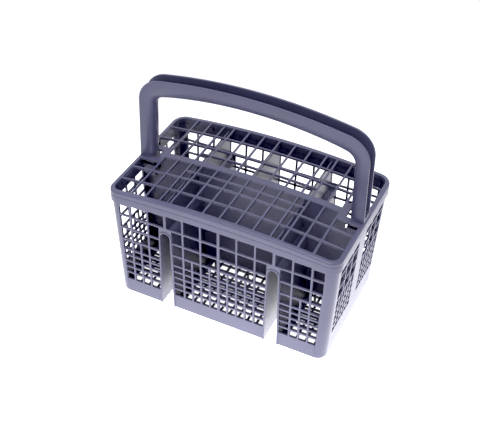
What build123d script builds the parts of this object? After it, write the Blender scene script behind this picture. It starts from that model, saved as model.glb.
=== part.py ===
"""Dishwasher cutlery basket: a mesh-walled body, an arched grid lid and a carrying handle.

Millimetres, +X along the basket, +Y to the back, +Z up, origin at the middle of the foot.
"""
import os

from build123d import *

# Rim and lid outline
rim_length = 240.0  # over the two ends
rim_width = 145.4  # over the long sides, at the corners
rim_bow = 1.0  # bulge of each long side at its middle
rim_corner_radius = 13.0
rim_border = 4.5  # width of the frame round the grid

# The three arched lines: the flange's height at the ends, what stands on it, and how far each rises in the middle
flange_height = 115.8
flange_rise = 7.0
flange_depth = 8.4  # from the foot of the flange up to the seam
seam_rise = 5.0
lid_depth = 5.0  # from the seam up to the top of the lid
lid_top_rise = 7.5

# Body walls
foot_length = 226.6
foot_width = 137.4
body_corner_radius = 10.4
wall_thickness = 2.0
flange_overhang = 1.8  # how far the flange stands out from the walls
floor_thickness = 2.0

# Mesh of the walls: rows from the plinth up, each measured from bar centre to bar centre
plinth_height = 17.4
mesh_rows = (9.0, 7.9, 7.9, 7.9, 7.9, 13.0, 15.2, 16.2)
fine_rows = 6  # the lowest rows have twice as many upright bars on the long sides
mesh_pitch = 19.0  # upright bars of the long sides
bar_width = 2.0
main_bar_width = 2.8  # upright bars where an inner wall meets the mesh
corner_stile = 10.6  # solid strip beside each corner on the long sides
window_head_drop = 3.0  # solid strip between the top row and the flange
end_columns = 3  # of each mesh panel on the ends
end_stile_width = 19.0  # solid strip in the middle of each end, below the handle
end_corner_stile = 14.5

# Tunnels that let the tines of a rack pass through the body from front to back
tunnel_bar = 3  # the tunnels stand under this upright bar, counted from the middle
tunnel_foot_width = 13.4
tunnel_crown_width = 10.2
tunnel_height = 96.6
tunnel_wall = 1.7
tunnel_lip = 0.8  # how far the mouth stands out from the wall

# Inner walls
divider_thickness = 1.6
divider_foot = 14.0  # the inner walls are open below this height
divider_post = 2.4
divider_post_pitch = 38.0

# Floor slots
floor_slot_border = 3.5
floor_bar = 2.4
floor_slot_rows = 2

# Lid grid
grid_depth = 3.5
grid_bar = 1.9
spine_width = 7.5
grid_lines = (15.8, 27.8, 48.8)  # long bars, from the middle towards each side
narrow_column = 11.5  # column above each tunnel, either side of its divider
socket_length = 22.0  # solid plate round each handle leg
socket_width = 26.0
locating_rib = 1.5  # tabs under the lid that fit inside the body's walls
locating_rib_depth = 4.0
locating_rib_length = 24.0

# Handle
handle_height = 229.5
handle_rise = 13.0  # rise of the top span between its two corners
handle_width = 16.0
handle_depth = 17.0  # of the top span
leg_depth = 14.8
leg_foot_inset = 1.0  # from the rim's end to the outside of the leg, at the lid
leg_lean = 2.0  # how far each leg leans inwards up to the corner
handle_outer_radius = 26.0
handle_inner_radius = 13.0
handle_grip_chamfer = 4.0  # takes the edges off the hand side
channel_lip = 1.9
channel_depth = 10.5
channel_foot = 5.0  # solid leg between the lid and the end of the hollow

# Handle fixing
tongue_length = 20.0
tongue_thickness = 9.0
tongue_width = 12.0
latch_slot = 3.6  # free slot beside each leg
pocket_wall = 1.6
catch_height = 4.0
catch_depth = 1.0

# Clearances
seam_gap = 0.15
fit_gap = 0.25

overshoot = 5.0  # how far cutting shapes run past what they cut

seam_height = flange_height + flange_depth
lid_top_height = seam_height + lid_depth
body_top = lid_top_height + lid_top_rise + overshoot
wall_length = rim_length - 2 * flange_overhang
wall_width = rim_width - 2 * flange_overhang
tunnel_offset = tunnel_bar * mesh_pitch
stile_half = end_stile_width / 2


def front_view(*edges):
    """Face in the XZ plane, bounded by edges drawn as seen from the front."""
    return make_face([Plane.XZ * edge for edge in edges])


def arch_height(x, end_height, rise):
    """Height at x of a shallow parabolic arch through both rim ends."""
    return end_height + rise * (1 - (2 * x / rim_length) ** 2)


def arch_line(end_height, rise):
    """The arch as a curve that runs a little past both ends."""
    half = rim_length / 2 + overshoot
    foot = arch_height(half, end_height, rise)
    return Bezier((-half, foot), (0, 2 * (end_height + rise) - foot), (half, foot))


def arch_band(lower, upper):
    """Slab between two arches, each given as (end height, rise), across the whole basket."""
    low = arch_line(*lower)
    high = arch_line(*upper)
    outline = front_view(low, Line(low @ 1, high @ 1), high, Line(high @ 0, low @ 0))
    reach = rim_width / 2 + rim_bow + overshoot
    return extrude(Pos(0, reach, 0) * outline, amount=2 * reach)


def below_arch(end_height, rise):
    """Everything from well below the foot up to one arch."""
    return arch_band((-4 * overshoot - rise, rise), (end_height, rise))


lid_top = (lid_top_height, lid_top_rise)
seam = (seam_height, seam_rise)
flange_foot = (flange_height, flange_rise)
grid_underside = (lid_top_height - grid_depth, lid_top_rise)


def rim_outline():
    """Rim seen from above: bowed long sides, straight ends, rounded corners."""
    half_length = rim_length / 2
    half_width = rim_width / 2
    crown = half_width + rim_bow
    outline = make_face(
        [
            ThreePointArc((-half_length, -half_width), (0, -crown), (half_length, -half_width)),
            Line((half_length, -half_width), (half_length, half_width)),
            ThreePointArc((half_length, half_width), (0, crown), (-half_length, half_width)),
            Line((-half_length, half_width), (-half_length, -half_width)),
        ]
    )
    return fillet(outline.vertices(), rim_corner_radius)


def grid_field():
    """Inside of the rim seen from above."""
    return RectangleRounded(
        rim_length - 2 * rim_border, rim_width - 2 * rim_border, rim_corner_radius - rim_border
    )


def wall_half_length(z):
    """Outside of the end walls at height z."""
    return (foot_length + (wall_length - foot_length) * z / flange_height) / 2


def wall_half_width(z):
    """Outside of the long walls at height z."""
    return (foot_width + (wall_width - foot_width) * z / flange_height) / 2


def tapered_block(bottom, top, inset):
    """The body's outer form between two heights, shrunk by inset on every side."""
    views = []
    for half_at, plane in ((wall_half_length, Plane.XZ), (wall_half_width, Plane.YZ)):
        foot = half_at(bottom) - inset
        head = half_at(top) - inset
        outline = plane * Polygon((-foot, bottom), (foot, bottom), (head, top), (-head, top), align=None)
        views.append(extrude(outline, amount=rim_length, both=True))
    block = views[0] & views[1]
    corners = block.edges().filter_by(lambda edge: abs(edge.tangent_at(0.5).Z) > 0.5)
    return fillet(corners, body_corner_radius - inset)


def tunnel_profile(offset):
    """Inverted U with leaning sides, grown by offset, as a front view."""
    crown = tunnel_crown_width / 2 + offset
    foot = tunnel_foot_width / 2 + offset
    spring = tunnel_height + offset - crown
    base = -overshoot if offset == 0 else 0.0
    return front_view(
        Line((-crown, spring), (-foot, base)),
        Line((-foot, base), (foot, base)),
        Line((foot, base), (crown, spring)),
        ThreePointArc((crown, spring), (0, tunnel_height + offset), (-crown, spring)),
    )


def tunnel_half_width(z):
    """Outside of a tunnel's wall at height z."""
    share = min(max(z / tunnel_height, 0.0), 1.0)
    return (tunnel_foot_width + (tunnel_crown_width - tunnel_foot_width) * share) / 2 + tunnel_wall


def spans(bars, low, high):
    """Clear openings between low and high, where bars is a list of (position, width)."""
    edges = [(low, 0.0)] + sorted(bars) + [(high, 0.0)]
    openings = []
    for (left, left_width), (right, right_width) in zip(edges, edges[1:]):
        start = left + left_width / 2
        end = right - right_width / 2
        if end - start > 2 * bar_width:
            openings.append((start, end))
    return openings


def long_side_bars(half, fine, crosses_tunnel, z):
    """Upright bars of one row of a long side."""
    step = mesh_pitch / 2 if fine else mesh_pitch
    reach = int(half / step)
    keep_out = tunnel_half_width(z) + 2 * bar_width
    bars = []
    for index in range(-reach, reach + 1):
        x = index * step
        from_tunnel = abs(abs(x) - tunnel_offset)
        if half - abs(x) < 2 * bar_width:
            continue
        if crosses_tunnel and from_tunnel < keep_out:
            continue
        is_main = index == 0 or from_tunnel < bar_width
        bars.append((x, main_bar_width if is_main else bar_width))
    if crosses_tunnel:
        bars += [(side * tunnel_offset, 2 * tunnel_half_width(z)) for side in (-1, 1)]
    return bars


def mesh_levels():
    """Heights of the horizontal bars that fit below the flange, with the top of the plinth first."""
    highest = flange_height - window_head_drop - 2 * bar_width
    levels = [plinth_height]
    for height in mesh_rows:
        if levels[-1] + height < highest:
            levels.append(levels[-1] + height)
    return levels


def long_side_cells():
    """Window blocks that pass through both long walls at once."""
    cells = []
    levels = mesh_levels()
    depth = rim_width + 2 * overshoot
    for row, row_foot in enumerate(levels):
        is_top = row_foot == levels[-1]
        start = row_foot + (bar_width / 2 if row else 0.0)
        middle = row_foot if is_top else (row_foot + levels[row + 1]) / 2
        half = wall_half_length(middle) - corner_stile
        crosses_tunnel = row_foot < tunnel_height + tunnel_wall
        bars = long_side_bars(half, row < fine_rows, crosses_tunnel, row_foot)
        for left, right in spans(bars, -half, half):
            if is_top:
                end = arch_height((left + right) / 2, *flange_foot) - window_head_drop
            else:
                end = levels[row + 1] - bar_width / 2
            cells.append(
                Pos((left + right) / 2, 0, (start + end) / 2) * Box(right - left, depth, end - start)
            )
    return cells


def end_cells():
    """Window blocks that pass through both end walls at once; the low ones span two rows of the long sides."""
    levels = mesh_levels()
    levels = levels[1:fine_rows:2] + levels[fine_rows:]
    head = flange_height - window_head_drop
    length = rim_length + 2 * overshoot
    cells = []
    for row_foot, row_head in zip(levels, levels[1:] + [head + bar_width / 2]):
        start = row_foot + bar_width / 2
        end = row_head - bar_width / 2
        half = wall_half_width((start + end) / 2) - end_corner_stile
        step = (half - stile_half) / end_columns
        bars = [(side * (stile_half + i * step), bar_width) for i in range(1, end_columns) for side in (-1, 1)]
        for front, back in spans(bars + [(0.0, end_stile_width)], -half, half):
            cells.append(
                Pos(0, (front + back) / 2, (start + end) / 2) * Box(length, back - front, end - start)
            )
    return cells


def floor_slots():
    """Drain slots of the floor, in bays between the tunnels and the end walls."""
    half_width = foot_width / 2 - wall_thickness - floor_slot_border
    tunnel_side = tunnel_half_width(0) + floor_slot_border
    bay_limits = (
        (-tunnel_offset + tunnel_side, tunnel_offset - tunnel_side),
        (tunnel_offset + tunnel_side, foot_length / 2 - wall_thickness - floor_slot_border),
    )
    row_step = 2 * half_width / floor_slot_rows
    slots = []
    for bay, (low, high) in enumerate(bay_limits):
        count = round((high - low) / (mesh_pitch / 2))
        step = (high - low) / count
        for column in range(count):
            x = low + (column + 0.5) * step
            for row in range(floor_slot_rows):
                y = -half_width + (row + 0.5) * row_step
                sides = (-1, 1) if bay else (1,)
                for side in sides:
                    slots.append(
                        Pos(side * x, y, 0) * Box(step - floor_bar, row_step - floor_bar, 4 * floor_thickness)
                    )
    return slots


# Tongue and pocket of the handle, shared by all three pieces
leg_foot_outer = rim_length / 2 - leg_foot_inset
leg_foot_inner = leg_foot_outer - leg_depth
tongue_outer = rim_length / 2 - rim_border - locating_rib
tongue_inner = tongue_outer - tongue_thickness
tongue_foot = lid_top_height - tongue_length
pocket_top = seam_height - locating_rib_depth - fit_gap
catch_top = tongue_foot + 2 * catch_height


def body():
    """Mesh-walled body with tunnels, inner walls and handle pockets, one moulding."""
    hollow = tapered_block(floor_thickness, body_top, wall_thickness)
    shell = tapered_block(0, body_top, 0) - hollow
    shell = shell - long_side_cells() - end_cells() - floor_slots()
    shell = shell & below_arch(*seam)

    flange = extrude(Pos(0, 0, flange_height - overshoot) * rim_outline(), amount=body_top - flange_height)
    flange = (flange & arch_band(flange_foot, seam)) - hollow

    grown = tapered_block(0, body_top, -tunnel_lip)
    tunnel = extrude(tunnel_profile(tunnel_wall), amount=rim_width, both=True)
    tunnels = [(Pos(side * tunnel_offset, 0, 0) * tunnel) & grown for side in (-1, 1)]

    inner = tapered_block(0, body_top, wall_thickness / 2)
    inside_rib = tapered_block(0, body_top, wall_thickness + locating_rib + 2 * fit_gap)
    room = (inner & below_arch(seam_height - locating_rib_depth - fit_gap, seam_rise)) + (
        inside_rib & below_arch(lid_top_height - grid_depth - seam_gap, lid_top_rise)
    )
    dividers = [wall & room for wall in divider_walls()]

    moulding = shell + [flange] + tunnels + dividers + [pocket & inner for pocket in handle_pockets()]
    void = extrude(tunnel_profile(0), amount=rim_width, both=True)
    moulding = moulding - [Pos(side * tunnel_offset, 0, 0) * void for side in (-1, 1)]
    return moulding - catch_windows()


def divider_walls():
    """Lengthwise middle wall with posts, a cross wall at the back and one above each tunnel."""
    height = body_top - divider_foot
    level = divider_foot + height / 2
    reach = leg_foot_inner - latch_slot - pocket_wall
    under_pocket = tongue_foot - divider_foot
    walls = [Pos(0, 0, level) * Box(2 * reach, divider_thickness, height)]
    walls.append(Pos(0, 0, divider_foot + under_pocket / 2) * Box(rim_length, divider_thickness, under_pocket))
    walls.append(Pos(0, rim_width / 4, level) * Box(divider_thickness, rim_width / 2, height))
    crown_height = body_top - tunnel_height
    for side in (-1, 1):
        walls.append(
            Pos(side * tunnel_offset, 0, tunnel_height + crown_height / 2)
            * Box(divider_thickness, rim_width, crown_height)
        )
    posts = int(reach / divider_post_pitch)
    for index in range(-posts, posts + 1):
        x = index * divider_post_pitch
        if abs(abs(x) - tunnel_offset) > tunnel_half_width(0) + divider_post:
            walls.append(Pos(x, 0, divider_foot / 2) * Box(divider_post, divider_thickness, divider_foot))
    return walls


def handle_pockets():
    """Box-shaped guides on the inside of the ends that take the tongues of the handle."""
    inside = tongue_inner - fit_gap
    half = tongue_width / 2 + fit_gap
    depth = rim_length / 2 - inside
    height = pocket_top - tongue_foot + pocket_wall
    level = pocket_top - height / 2
    pockets = []
    for side in (-1, 1):
        outer = Pos(side * (inside - pocket_wall + depth / 2), 0, level) * Box(
            depth + pocket_wall, 2 * (half + pocket_wall), height
        )
        room = Pos(side * (inside + depth / 2), 0, level + pocket_wall) * Box(depth, 2 * half, height)
        pockets.append(outer - room)
    return pockets


def catch_windows():
    """Windows in the pockets for the catches of the tongues."""
    height = catch_height + 2 * fit_gap
    return [
        Pos(side * (tongue_inner - fit_gap - pocket_wall / 2), 0, catch_top - catch_height / 2)
        * Box(2 * pocket_wall, tongue_width / 2 + 2 * fit_gap, height)
        for side in (-1, 1)
    ]


def grid_columns():
    """Cross bars of the lid, from the middle outwards."""
    inner = tunnel_offset - narrow_column / 2
    outer = tunnel_offset + narrow_column / 2
    plate = rim_length / 2 - rim_border - socket_length
    return [0.0, inner / 3, 2 * inner / 3, inner, outer, (outer + plate) / 2, plate, rim_length / 2 - rim_border]


def lid_cells():
    """Openings of the grid as blocks: every cell of one quarter, repeated in all four."""
    columns = grid_columns()
    inner_side = tunnel_offset + narrow_column / 2
    plate = columns[-2]
    field = extrude(Pos(0, 0, seam_height - overshoot) * grid_field(), amount=body_top - seam_height)
    blocks = []
    for left, right in zip(columns, columns[1:]):
        rows = [spine_width / 2 - grid_bar / 2] + list(grid_lines) + [rim_width / 2]
        if left >= inner_side:
            rows.remove(grid_lines[0])
        if left >= plate:
            rows[0] = socket_width / 2 - grid_bar / 2
        start = left + (grid_bar / 2)
        end = right - (grid_bar / 2 if right < columns[-1] else 0.0)
        for front, back in zip(rows, rows[1:]):
            low = front + grid_bar / 2
            high = back - (grid_bar / 2 if back < rows[-1] else 0.0)
            for x_side in (-1, 1):
                for y_side in (-1, 1):
                    blocks.append(
                        Pos(x_side * (start + end) / 2, y_side * (low + high) / 2, body_top - overshoot)
                        * Box(end - start, high - low, 6 * overshoot)
                    )
    return [block & field for block in blocks]


def lid():
    """Arched frame with a skirt, a grid of bars, a middle spine and two handle sockets."""
    outline = extrude(Pos(0, 0, flange_height - overshoot) * rim_outline(), amount=body_top - flange_height)
    plate = outline & arch_band(grid_underside, lid_top)
    plate = plate - lid_cells()
    border = extrude(
        Pos(0, 0, flange_height - overshoot) * (rim_outline() - grid_field()),
        amount=body_top - flange_height,
    )
    skirt = border & arch_band((seam_height + seam_gap, seam_rise), lid_top)

    rib_inset = wall_thickness + fit_gap
    ring = tapered_block(flange_height - overshoot, body_top, rib_inset) - tapered_block(
        flange_height - 2 * overshoot, body_top + overshoot, rib_inset + locating_rib
    )
    ring = ring & arch_band((seam_height - locating_rib_depth, seam_rise), grid_underside)
    tab_height = 8 * overshoot
    blocks = []
    for side in (-1, 1):
        along = Pos(side * (tunnel_offset + rim_length / 2) / 2, 0, seam_height)
        across = Pos(0, side * rim_width / 4, seam_height)
        blocks.append(along * Box(locating_rib_length, 2 * rim_width, tab_height))
        blocks.append(across * Box(2 * rim_length, locating_rib_length, tab_height))
    ribs = [ring & block for block in blocks]

    hole_inner = leg_foot_inner - latch_slot
    hole_outer = tongue_outer + fit_gap
    holes = [
        Pos(side * (hole_inner + hole_outer) / 2, 0, lid_top_height)
        * Box(hole_outer - hole_inner, tongue_width + 2 * fit_gap, 6 * overshoot)
        for side in (-1, 1)
    ]
    return plate + [skirt] + ribs - holes


def bail(outer_inset, depth_top, depth_leg, foot, corner_outer, corner_inner):
    """Front view of an arched bail, its outside moved in by outer_inset, open at the bottom."""
    foot_half = leg_foot_outer - outer_inset
    shoulder = handle_height - handle_rise - outer_inset
    lean = leg_lean * (shoulder - foot) / (handle_height - handle_rise - lid_top_height)
    top_half = foot_half - lean
    crown = handle_height - outer_inset
    in_foot = foot_half - depth_leg
    in_top = top_half - depth_leg
    in_crown = crown - depth_top
    in_shoulder = shoulder - depth_top
    outline = front_view(
        Line((-foot_half, foot), (-top_half, shoulder)),
        ThreePointArc((-top_half, shoulder), (0, crown), (top_half, shoulder)),
        Line((top_half, shoulder), (foot_half, foot)),
        Line((foot_half, foot), (in_foot, foot)),
        Line((in_foot, foot), (in_top, in_shoulder)),
        ThreePointArc((in_top, in_shoulder), (0, in_crown), (-in_top, in_shoulder)),
        Line((-in_top, in_shoulder), (-in_foot, foot)),
        Line((-in_foot, foot), (-foot_half, foot)),
    )
    by_height = outline.vertices().filter_by(lambda v: v.Z > foot + overshoot).sort_by(Axis.Z)
    outline = fillet(by_height[-2:], corner_outer)
    inner = outline.vertices().filter_by(
        lambda v: abs(abs(v.X) - in_top) < 0.01 and abs(v.Z - in_shoulder) < 0.01
    )
    return fillet(inner, corner_inner)


def handle():
    """Bail handle: hollow on the outside, bevelled on the hand side, with a tongue on each leg."""
    grip = extrude(
        bail(0, handle_depth, leg_depth, flange_height, handle_outer_radius, handle_inner_radius),
        amount=handle_width / 2,
        both=True,
    )
    hand_side = grip.edges().filter_by(lambda e: abs(abs(e.center().Y) - handle_width / 2) < 0.01)
    hand_side = hand_side.filter_by(lambda e: is_hand_side(e.position_at(0.5)))
    grip = chamfer(hand_side, handle_grip_chamfer)

    foot = lid_top_height + channel_foot
    hollow = extrude(
        bail(
            -overshoot,
            channel_depth + overshoot,
            channel_depth + overshoot,
            foot,
            handle_outer_radius + overshoot,
            handle_outer_radius - channel_depth,
        ),
        amount=handle_width / 2 - channel_lip,
        both=True,
    )
    grip = grip - hollow - below_arch(lid_top_height + fit_gap, lid_top_rise)
    return grip + tongues()


def is_hand_side(point):
    """True for points on the inner outline of the bail."""
    crown = handle_height - handle_depth
    middle_of_leg = leg_foot_outer - leg_lean - leg_depth / 2
    return abs(point.X) < middle_of_leg and flange_height < point.Z < crown + fit_gap


def tongues():
    """Tongues below the legs, each with a wedge-shaped catch."""
    pieces = []
    top = lid_top_height + channel_foot / 2
    for side in (-1, 1):
        blade = Pos(side * (tongue_inner + tongue_outer) / 2, 0, (tongue_foot + top) / 2) * Box(
            tongue_thickness, tongue_width, top - tongue_foot
        )
        root_top = (side * tongue_inner, catch_top)
        nose = (side * (tongue_inner - catch_depth), catch_top)
        root_foot = (side * tongue_inner, catch_top - catch_height)
        wedge = front_view(Line(root_top, nose), Line(nose, root_foot), Line(root_foot, root_top))
        pieces += [blade, extrude(wedge, amount=tongue_width / 4, both=True)]
    return pieces


os.makedirs("parts", exist_ok=True)
for name, make in (("basket_body", body), ("lid_grid", lid), ("carry_handle", handle)):
    export_step(make(), f"parts/{name}.step")
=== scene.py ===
"""Dishwasher cutlery basket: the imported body, lid and handle, finished as moulded grey-blue plastic."""

import math

import bmesh
import bpy
from mathutils import Matrix, Vector
from mathutils.bvhtree import BVHTree


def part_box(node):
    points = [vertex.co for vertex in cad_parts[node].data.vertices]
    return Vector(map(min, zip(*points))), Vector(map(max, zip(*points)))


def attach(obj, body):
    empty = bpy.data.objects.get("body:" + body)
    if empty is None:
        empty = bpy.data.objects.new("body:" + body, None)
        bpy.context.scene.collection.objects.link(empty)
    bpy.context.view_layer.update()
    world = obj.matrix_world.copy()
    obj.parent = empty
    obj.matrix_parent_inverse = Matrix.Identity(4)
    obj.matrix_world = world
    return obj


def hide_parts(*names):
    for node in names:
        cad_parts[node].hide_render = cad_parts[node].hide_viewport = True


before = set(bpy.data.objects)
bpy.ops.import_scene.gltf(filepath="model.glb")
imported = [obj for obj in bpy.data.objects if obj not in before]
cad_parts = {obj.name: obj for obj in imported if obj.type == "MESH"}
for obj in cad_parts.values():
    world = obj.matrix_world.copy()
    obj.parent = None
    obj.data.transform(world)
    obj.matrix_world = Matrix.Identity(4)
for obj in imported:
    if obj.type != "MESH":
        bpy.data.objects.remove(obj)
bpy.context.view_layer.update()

# Basket body
# One injection moulding in polypropylene: tapered mesh walls, a plinth, a slotted floor and two tine tunnels.
# The tool leaves every edge slightly soft and a fine spark-eroded grain on the faces.
MM = 0.001
WELD = 0.01 * MM
BODY_EDGE = 0.35 * MM
EDGE_SEGMENTS = 2
SHARP_ANGLE = math.radians(35.0)
FLAT_FACE_WEIGHT = 100
BODY_COLOUR = (0.092, 0.092, 0.155)
BODY_GRAIN = 0.25
CLOUD_SCALE = 18.0
CLOUD_DETAIL = 4.0
CLOUD_BAND = (0.35, 0.65)
CLOUD_TINT = (0.95, 1.05)
SATIN = (0.25, 0.37)
GRAIN_SCALE = 2600.0
GRAIN_DETAIL = 2.0
GRAIN_DEPTH = 0.08 * MM
PLASTIC_IOR = 1.49


def placed(name, data):
    """New object at the origin of the scene."""
    thing = bpy.data.objects.new(name, data)
    bpy.context.scene.collection.objects.link(thing)
    return thing


def settle(piece):
    """Give a piece the plain mesh that its modifiers make, and drop the modifiers."""
    bpy.context.view_layer.update()
    made = bpy.data.meshes.new_from_object(piece.evaluated_get(bpy.context.evaluated_depsgraph_get()))
    made.name = piece.name
    piece.modifiers.clear()
    piece.data = made


def welded(node):
    """Editable copy of a node's mesh with its loose triangles joined."""
    work = bmesh.new()
    work.from_mesh(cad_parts[node].data)
    bmesh.ops.remove_doubles(work, verts=work.verts, dist=WELD)
    return work


def moulded(work, name, edge):
    """Finished piece from a welded copy, with every sharp edge softened and flat faces kept flat."""
    for face in work.faces:
        face.smooth = True
    mesh = bpy.data.meshes.new(name)
    work.to_mesh(mesh)
    work.free()
    piece = placed(name, mesh)
    soften = piece.modifiers.new("soft_edges", "BEVEL")
    soften.width = edge
    soften.segments = EDGE_SEGMENTS
    soften.limit_method = "ANGLE"
    soften.angle_limit = SHARP_ANGLE
    soften.use_clamp_overlap = False
    soften.loop_slide = False
    flatten = piece.modifiers.new("flat_faces", "WEIGHTED_NORMAL")
    flatten.mode = "FACE_AREA"
    flatten.weight = FLAT_FACE_WEIGHT
    settle(piece)
    return piece


def moulded_plastic(name, colour, grain):
    """Satin polypropylene: slight cloudiness in the colour, uneven gloss and a fine moulded grain."""
    material = bpy.data.materials.new(name)
    material.use_nodes = True
    nodes = material.node_tree.nodes
    links = material.node_tree.links
    shader = nodes["Principled BSDF"]
    place = nodes.new("ShaderNodeTexCoord")

    cloud = nodes.new("ShaderNodeTexNoise")
    cloud.inputs["Scale"].default_value = CLOUD_SCALE
    cloud.inputs["Detail"].default_value = CLOUD_DETAIL
    links.new(place.outputs["Object"], cloud.inputs["Vector"])
    tint = nodes.new("ShaderNodeValToRGB")
    for stop, position, strength in zip(tint.color_ramp.elements, CLOUD_BAND, CLOUD_TINT):
        stop.position = position
        stop.color = [channel * strength for channel in colour] + [1.0]
    links.new(cloud.outputs["Fac"], tint.inputs["Fac"])
    links.new(tint.outputs["Color"], shader.inputs["Base Color"])

    gloss = nodes.new("ShaderNodeMapRange")
    gloss.inputs["To Min"].default_value = SATIN[0]
    gloss.inputs["To Max"].default_value = SATIN[1]
    links.new(cloud.outputs["Fac"], gloss.inputs["Value"])
    links.new(gloss.outputs["Result"], shader.inputs["Roughness"])

    texture = nodes.new("ShaderNodeTexNoise")
    texture.inputs["Scale"].default_value = GRAIN_SCALE
    texture.inputs["Detail"].default_value = GRAIN_DETAIL
    links.new(place.outputs["Object"], texture.inputs["Vector"])
    bump = nodes.new("ShaderNodeBump")
    bump.inputs["Strength"].default_value = grain
    bump.inputs["Distance"].default_value = GRAIN_DEPTH
    links.new(texture.outputs["Fac"], bump.inputs["Height"])
    links.new(bump.outputs["Normal"], shader.inputs["Normal"])
    shader.inputs["IOR"].default_value = PLASTIC_IOR
    return material


body_plastic = moulded_plastic("body_plastic", BODY_COLOUR, BODY_GRAIN)
body = moulded(welded("basket_body"), "mesh_body", BODY_EDGE)
body.data.materials.append(body_plastic)
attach(body, "root")
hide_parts("basket_body")

# Fine bars of the body
# The same moulding carries bars between those of the solid: half-pitch uprights and rows low on the ends,
# and bars and a broad band across the floor slots. Each set repeats half a turn round the basket's middle.
BAR = 2.0 * MM
BAR_DEPTH = 1.7 * MM
WALL = 2.0 * MM
END_ROWS = (34.3 * MM, 50.1 * MM)
END_MESH_FOOT = 26.4 * MM
END_MESH_HEAD = 71.0 * MM
END_STILE_HALF = 9.5 * MM
END_PANEL = 45.9 * MM
END_COLUMNS = 3
END_FOOT = 113.3 * MM
END_HEAD = 118.2 * MM
END_HEIGHT = 115.8 * MM
END_LEAN = math.atan2(END_HEAD - END_FOOT, END_HEIGHT)
FLOOR = 2.0 * MM
FLOOR_HALF_WIDTH = 63.0 * MM
FLOOR_BAR = 2.2 * MM
FLOOR_BAR_PITCH = 9.0 * MM
FLOOR_BAR_COUNT = 6
FLOOR_BAND = 8.0 * MM
FLOOR_BAND_Y = 16.5 * MM
FLOOR_BAND_DEPTH = 1.6 * MM
MIDDLE_BAY = (-45.6 * MM, 45.6 * MM)
SIDE_BAY = (68.4 * MM, 108.3 * MM)


def bar_tree():
    """Node tree: a row of equal bars, and the same row again half a turn round the Z axis."""
    tree = bpy.data.node_groups.new("bar_row", "GeometryNodeTree")
    sockets = tree.interface
    sockets.new_socket("Count", in_out="INPUT", socket_type="NodeSocketInt")
    for name in ("First", "Step", "Size", "Tilt"):
        sockets.new_socket(name, in_out="INPUT", socket_type="NodeSocketVector")
    sockets.new_socket("Material", in_out="INPUT", socket_type="NodeSocketMaterial")
    sockets.new_socket("Geometry", in_out="OUTPUT", socket_type="NodeSocketGeometry")
    nodes = tree.nodes
    links = tree.links
    given = nodes.new("NodeGroupInput")
    row = nodes.new("GeometryNodeMeshLine")
    links.new(given.outputs["Count"], row.inputs["Count"])
    links.new(given.outputs["First"], row.inputs["Start Location"])
    links.new(given.outputs["Step"], row.inputs["Offset"])
    bar = nodes.new("GeometryNodeMeshCube")
    links.new(given.outputs["Size"], bar.inputs["Size"])
    place = nodes.new("GeometryNodeInstanceOnPoints")
    links.new(row.outputs["Mesh"], place.inputs["Points"])
    links.new(bar.outputs["Mesh"], place.inputs["Instance"])
    links.new(given.outputs["Tilt"], place.inputs["Rotation"])
    turn = nodes.new("GeometryNodeTransform")
    turn.inputs["Rotation"].default_value = (0.0, 0.0, math.pi)
    links.new(place.outputs["Instances"], turn.inputs["Geometry"])
    both = nodes.new("GeometryNodeJoinGeometry")
    links.new(place.outputs["Instances"], both.inputs["Geometry"])
    links.new(turn.outputs["Geometry"], both.inputs["Geometry"])
    solid = nodes.new("GeometryNodeRealizeInstances")
    links.new(both.outputs["Geometry"], solid.inputs["Geometry"])
    finish = nodes.new("GeometryNodeSetMaterial")
    links.new(solid.outputs["Geometry"], finish.inputs["Geometry"])
    links.new(given.outputs["Material"], finish.inputs["Material"])
    result = nodes.new("NodeGroupOutput")
    links.new(finish.outputs["Geometry"], result.inputs["Geometry"])
    return tree


bar_row = bar_tree()


def bars(name, count, first, step, size, tilt=0.0):
    """Row of bars on the body, each tipped about Y, repeated on the far side."""
    piece = placed(name, bpy.data.meshes.new(name))
    repeat = piece.modifiers.new("bars", "NODES")
    repeat.node_group = bar_row
    values = {
        "Count": count,
        "First": first,
        "Step": step,
        "Size": size,
        "Tilt": (0.0, tilt, 0.0),
        "Material": body_plastic,
    }
    for item in bar_row.interface.items_tree:
        if item.in_out == "INPUT":
            repeat[item.identifier] = values[item.name]
    settle(piece)
    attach(piece, "root")


def end_centre(z):
    """Middle of an end wall's thickness at a height."""
    return END_FOOT + math.tan(END_LEAN) * z - WALL / 2


mesh_middle = (END_MESH_FOOT + END_MESH_HEAD) / 2
column = END_PANEL / END_COLUMNS
upright = (BAR_DEPTH, BAR, (END_MESH_HEAD - END_MESH_FOOT) / math.cos(END_LEAN))
for side, label in ((-1, "front"), (1, "back")):
    bars(
        f"end_uprights_{label}",
        END_COLUMNS,
        (end_centre(mesh_middle), side * (END_STILE_HALF + column / 2), mesh_middle),
        (0.0, side * column, 0.0),
        upright,
        END_LEAN,
    )
row_rise = END_ROWS[1] - END_ROWS[0]
bars(
    "end_rows",
    len(END_ROWS),
    (end_centre(END_ROWS[0]), 0.0, END_ROWS[0]),
    (math.tan(END_LEAN) * row_rise, 0.0, row_rise),
    (BAR_DEPTH, 2 * (END_STILE_HALF + END_PANEL), BAR),
    END_LEAN,
)
# The half turn fills the back of the middle bay from its front, and the left bay from the right one
floor_parts = (("middle_front", -1, MIDDLE_BAY), ("side_front", -1, SIDE_BAY), ("side_back", 1, SIDE_BAY))
for label, side, (low, high) in floor_parts:
    bay_middle = (low + high) / 2
    bars(
        f"floor_bars_{label}",
        FLOOR_BAR_COUNT,
        (bay_middle, side * FLOOR_BAR_PITCH, FLOOR / 2),
        (0.0, side * FLOOR_BAR_PITCH, 0.0),
        (high - low, FLOOR_BAR, BAR_DEPTH),
    )
    bars(
        f"floor_band_{label}",
        1,
        (bay_middle, side * FLOOR_BAND_Y, FLOOR / 2),
        (0.0, 0.0, 0.0),
        (high - low, FLOOR_BAND, FLOOR_BAND_DEPTH),
    )

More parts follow.
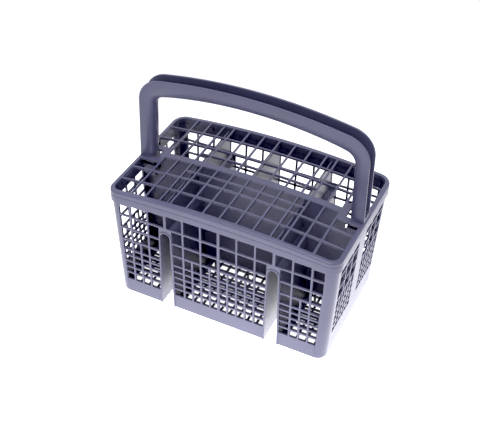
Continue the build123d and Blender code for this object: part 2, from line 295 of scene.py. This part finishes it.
# Grid lid
# A separate arched moulding in the same plastic that drops over the body: a rounded rim with a short skirt,
# thin bars and a flat spine. The bars are less deep than the solid's, to suit both halves of the photograph.
LID_EDGE = 0.35 * MM
LID_COLOUR = BODY_COLOUR
LID_GRAIN = 0.2
LID_END_TOP = 129.2 * MM
LID_RISE = 7.5 * MM
GRID_DEPTH = 3.5 * MM
GRID_THINNED = 1.0 * MM
ON_UNDERSIDE = 0.1 * MM
RIM_RADIUS = 1.8 * MM
RIM_SEGMENTS = 4
RIM_PROFILE = 0.5
RIM_BAND = 4.0 * MM
RIM_CORNER = 9.0 * MM
FACES_UP = 0.9
FACES_SIDEWAYS = 0.2
lid_high = Vector(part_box("lid_grid")[1])
lid_work = welded("lid_grid")


def on_rim(edge):
    """True for the outer edge of the lid's top."""
    if len(edge.link_faces) != 2:
        return False
    tops = [face.normal.z > FACES_UP for face in edge.link_faces]
    sides = [abs(face.normal.z) < FACES_SIDEWAYS for face in edge.link_faces]
    if not (any(tops) and any(sides)):
        return False
    outward = next(face.normal for face, side in zip(edge.link_faces, sides) if side)
    middle = (edge.verts[0].co + edge.verts[1].co) / 2
    if outward.x * middle.x + outward.y * middle.y <= 0:
        return False
    in_x = lid_high.x - abs(middle.x)
    in_y = lid_high.y - abs(middle.y)
    return min(in_x, in_y) < RIM_BAND or max(in_x, in_y) < RIM_CORNER


def grid_underside(x):
    """Height of the underside of the grid's bars, which follows the lid's arch."""
    return LID_END_TOP + LID_RISE * (1 - (x / lid_high.x) ** 2) - GRID_DEPTH


for point in lid_work.verts:
    if abs(point.co.z - grid_underside(point.co.x)) < ON_UNDERSIDE:
        point.co.z += GRID_THINNED
bmesh.ops.bevel(
    lid_work,
    geom=[edge for edge in lid_work.edges if on_rim(edge)],
    offset=RIM_RADIUS,
    offset_type="OFFSET",
    segments=RIM_SEGMENTS,
    profile=RIM_PROFILE,
    affect="EDGES",
    clamp_overlap=False,
    loop_slide=False,
)
lid = moulded(lid_work, "grid_lid", LID_EDGE)
lid.data.materials.append(moulded_plastic("lid_plastic", LID_COLOUR, LID_GRAIN))
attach(lid, "root")
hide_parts("lid_grid")

# Carrying handle
# A bail in the same plastic, moulded as an open channel. Its legs plug through the lid and catch below it.
# The grip is drawn along the solid's bail section by section, with its bevelled hand side made a full round.
HANDLE_EDGE = 0.4 * MM
# A little darker than the body and lid.
HANDLE_COLOUR = (0.084, 0.084, 0.145)
HANDLE_GRAIN = 0.2
GRIP_FOOT = 131.6 * MM
GRIP_HALF = 8.0 * MM
GRIP_LIP = 1.9 * MM
GRIP_FLAT = 2.0 * MM
GRIP_FULLNESS = 3.0
GRIP_STEPS = 12
GRIP_SECTIONS = 181
OUTSIDE = 400.0 * MM
handle_work = welded("carry_handle")
bail = BVHTree.FromBMesh(handle_work)


def reach(way, y, from_outside):
    """Distance from the middle of the bail's foot to its surface along a direction."""
    middle = Vector((0.0, y, GRIP_FOOT))
    if from_outside:
        return (bail.ray_cast(middle + OUTSIDE * way, -way)[0] - middle).length
    return (bail.ray_cast(middle, way)[0] - middle).length


def grip_section(angle):
    """Outline of the grip where a direction from the middle of the bail's foot crosses it."""
    way = Vector((math.cos(angle), 0.0, math.sin(angle)))
    outer = reach(way, GRIP_HALF - GRIP_LIP / 2, True)
    hollow = reach(way, 0.0, True)
    hand = reach(way, 0.0, False)
    rounded = outer - GRIP_FLAT
    points = [(hollow, GRIP_HALF - GRIP_LIP), (outer, GRIP_HALF - GRIP_LIP), (outer, GRIP_HALF)]
    for step in range(2 * GRIP_STEPS + 1):
        turn = math.pi * step / (2 * GRIP_STEPS)
        depth = math.sin(turn) ** (2 / GRIP_FULLNESS)
        width = math.copysign(abs(math.cos(turn)) ** (2 / GRIP_FULLNESS), math.cos(turn))
        points.append((rounded - (rounded - hand) * depth, GRIP_HALF * width))
    points += [(outer, -GRIP_HALF), (outer, GRIP_LIP - GRIP_HALF), (hollow, GRIP_LIP - GRIP_HALF)]
    return [along * way + Vector((0.0, y, GRIP_FOOT)) for along, y in points]


cut = bmesh.ops.bisect_plane(
    handle_work,
    geom=handle_work.verts[:] + handle_work.edges[:] + handle_work.faces[:],
    plane_co=(0.0, 0.0, GRIP_FOOT),
    plane_no=(0.0, 0.0, 1.0),
    clear_outer=True,
)
cut_edges = [part for part in cut["geom_cut"] if isinstance(part, bmesh.types.BMEdge)]
bmesh.ops.triangle_fill(handle_work, edges=cut_edges, use_beauty=True)
rings = []
for station in range(GRIP_SECTIONS):
    outline = grip_section(math.pi * station / (GRIP_SECTIONS - 1))
    rings.append([handle_work.verts.new(point) for point in outline])
for ring, following in zip(rings, rings[1:]):
    for at in range(len(ring)):
        handle_work.faces.new((ring[at - 1], ring[at], following[at], following[at - 1]))
handle_work.faces.new(rings[0])
handle_work.faces.new(rings[-1])
bmesh.ops.remove_doubles(handle_work, verts=[point for ring in rings for point in ring], dist=WELD)
bmesh.ops.recalc_face_normals(handle_work, faces=handle_work.faces)
handle = moulded(handle_work, "bail_handle", HANDLE_EDGE)
handle.data.materials.append(moulded_plastic("handle_plastic", HANDLE_COLOUR, HANDLE_GRAIN))
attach(handle, "root")
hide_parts("carry_handle")

# Studio
# A white table that glows far brighter than the plastic, with a painted pool of light brightest round the
# basket, so that it prints as pure white and shows as a reflection in every upright face. A dimmer glowing
# sheet under the three bays is the basket's painted shadow on the table.
# Dim surroundings and two soft lights do the rest.
TABLE_HALF = 6.0
TABLE_TOP = -0.4 * MM
TABLE_COLOUR = (1.0, 1.0, 1.04, 1.0)
TABLE_LIGHT = 1.05
POOL_LIGHT = 3.45
POOL_REACH = 0.45
POOL_CENTRE = (0.03, -0.08, 0.0)
SHADE_TOP = -0.3 * MM
SHADE_COLOUR = (1.0, 1.0, 1.0, 1.0)
SHADE_LIGHT = 1.08
SURROUND_COLOUR = (0.95, 0.96, 1.0, 1.0)
SURROUND_LIGHT = 1.0
LIGHT_AIM = Vector((0.0, 0.0, 0.10))
FRONT_PLACE = Vector((0.30, -0.70, 0.80))
FRONT_SIZE = 0.4
FRONT_POWER = 3.6
OVERHEAD_PLACE = Vector((0.0, -0.10, 1.10))
OVERHEAD_SIZE = 0.7
OVERHEAD_POWER = 5.0


def ground_sheet(name, spans, half_depth, top, material):
    """Flat rectangles on the ground, one for each span along the basket's length."""
    corners = []
    for low, high in spans:
        corners += [(low, -half_depth, top), (high, -half_depth, top)]
        corners += [(high, half_depth, top), (low, half_depth, top)]
    faces = [tuple(range(first, first + 4)) for first in range(0, len(corners), 4)]
    mesh = bpy.data.meshes.new(name)
    mesh.from_pydata(corners, [], faces)
    mesh.materials.append(material)
    return placed(name, mesh)


def glowing(name, colour, strength):
    """Surface that gives off light and reflects none."""
    material = bpy.data.materials.new(name)
    material.use_nodes = True
    surface = material.node_tree.nodes["Principled BSDF"]
    surface.inputs["Base Color"].default_value = (0.0, 0.0, 0.0, 1.0)
    surface.inputs["Specular IOR Level"].default_value = 0.0
    surface.inputs["Emission Color"].default_value = colour
    surface.inputs["Emission Strength"].default_value = strength
    return material


def pool_of_light(material):
    """Make a glowing surface brighter towards the middle of a round pool."""
    nodes = material.node_tree.nodes
    links = material.node_tree.links
    spot = nodes.new("ShaderNodeTexCoord")
    centred = nodes.new("ShaderNodeMapping")
    centred.inputs["Scale"].default_value = [1.0 / POOL_REACH] * 3
    centred.inputs["Location"].default_value = [-at / POOL_REACH for at in POOL_CENTRE]
    pool = nodes.new("ShaderNodeTexGradient")
    pool.gradient_type = "SPHERICAL"
    falloff = nodes.new("ShaderNodeMapRange")
    falloff.inputs["To Min"].default_value = TABLE_LIGHT
    falloff.inputs["To Max"].default_value = POOL_LIGHT
    links.new(spot.outputs["Object"], centred.inputs["Vector"])
    links.new(centred.outputs["Vector"], pool.inputs["Vector"])
    links.new(pool.outputs["Fac"], falloff.inputs["Value"])
    links.new(falloff.outputs["Result"], nodes["Principled BSDF"].inputs["Emission Strength"])


def soft_light(name, place, size, power):
    """Square area light that faces the basket."""
    lamp = bpy.data.lights.new(name, "AREA")
    lamp.shape = "SQUARE"
    lamp.size = size
    lamp.energy = power
    holder = placed(name, lamp)
    holder.location = place
    holder.rotation_euler = (LIGHT_AIM - place).to_track_quat("-Z", "Y").to_euler()


white_table = glowing("white_table", TABLE_COLOUR, TABLE_LIGHT)
# Painted pool of light: the table's glow rises towards the basket.
pool_of_light(white_table)
table = ground_sheet("table", [(-TABLE_HALF, TABLE_HALF)], TABLE_HALF, TABLE_TOP, white_table)

# Painted shadow: a dimmer glowing sheet under the three bays stands in for the basket's shadow on the table.
shaded_table = glowing("shaded_table", SHADE_COLOUR, SHADE_LIGHT)
bays = [(-SIDE_BAY[1], -SIDE_BAY[0]), MIDDLE_BAY, SIDE_BAY]
shade = ground_sheet("shade", bays, FLOOR_HALF_WIDTH, SHADE_TOP, shaded_table)

world = bpy.data.worlds.new("studio")
bpy.context.scene.world = world
world.use_nodes = True
surroundings = world.node_tree.nodes["Background"]
surroundings.inputs["Color"].default_value = SURROUND_COLOUR
surroundings.inputs["Strength"].default_value = SURROUND_LIGHT

soft_light("front", FRONT_PLACE, FRONT_SIZE, FRONT_POWER)
soft_light("overhead", OVERHEAD_PLACE, OVERHEAD_SIZE, OVERHEAD_POWER)

# Camera
# Stands to the right of the front and looks down, tipped a little to one side.
AZIMUTH = math.radians(25.02)
ELEVATION = math.radians(40.0)
ROLL = math.radians(1.43)
DISTANCE = 0.98829
AIM = Vector((-0.0218, 0.02332, 0.060))
LENS = 71.35
SENSOR_WIDTH = 36.0
NEAREST = 0.01
towards_eye = Vector(
    (
        math.sin(AZIMUTH) * math.cos(ELEVATION),
        -math.cos(AZIMUTH) * math.cos(ELEVATION),
        math.sin(ELEVATION),
    )
)
level = Vector((math.cos(AZIMUTH), math.sin(AZIMUTH), 0.0))
upward = towards_eye.cross(level)
across = math.cos(ROLL) * level + math.sin(ROLL) * upward
above = math.cos(ROLL) * upward - math.sin(ROLL) * level
eye = bpy.data.cameras.new("photo_camera")
eye.lens = LENS
eye.sensor_width = SENSOR_WIDTH
eye.clip_start = NEAREST
camera = placed("photo_camera", eye)
camera.matrix_world = Matrix.Translation(AIM + DISTANCE * towards_eye) @ Matrix(
    (across, above, towards_eye)
).transposed().to_4x4()
bpy.context.scene.camera = camera

# Print of the picture
# The photograph was printed with hard blacks, so the darkest tones are cut off.
BLACK_LEVEL = (0.036, 0.036, 0.050)
view = bpy.context.scene.view_settings
view.view_transform = "Standard"
view.look = "None"
view.use_curve_mapping = True
view.curve_mapping.black_level = BLACK_LEVEL
view.curve_mapping.update()
